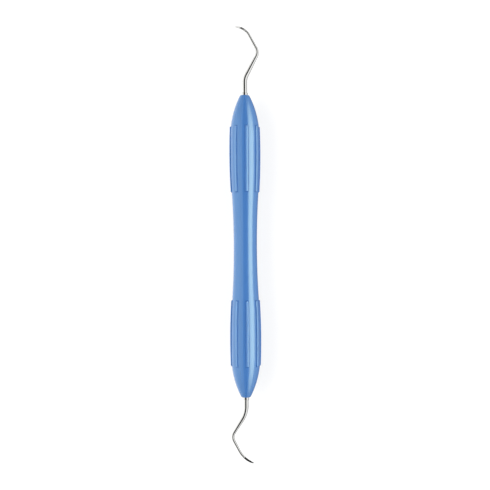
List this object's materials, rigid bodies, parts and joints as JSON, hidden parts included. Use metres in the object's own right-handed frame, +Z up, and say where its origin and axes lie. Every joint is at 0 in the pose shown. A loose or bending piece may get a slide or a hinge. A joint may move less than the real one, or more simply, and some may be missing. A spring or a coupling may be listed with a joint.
{
  "type": "double-ended dental scaler",
  "caption": "Slim dental hand instrument: waisted blue silicone grip with ribbed barrels, and a bent steel shank with a hooked sickle blade at each end, for scaling and probing teeth.",
  "frame": {"origin": "on the surface that the instrument lies on, under the middle of the handle", "axes": "+X along the handle towards the upper tip, +Z up from the surface, +Y to the left of +X"},
  "size_m": [0.171, 0.0114, 0.0115],
  "materials": {
    "silicone": "satin, moulded",
    "drawn_tube": "drawn",
    "turned_socket": "turned",
    "polished_tip": "polished stainless steel"
  },
  "bodies": {
    "root": {"grip_sleeve": "silicone", "core_tube": "drawn_tube", "upper_socket": "turned_socket", "lower_socket": "turned_socket", "upper_tip": "polished_tip", "lower_tip": "polished_tip"}
  },
  "joints": []
}
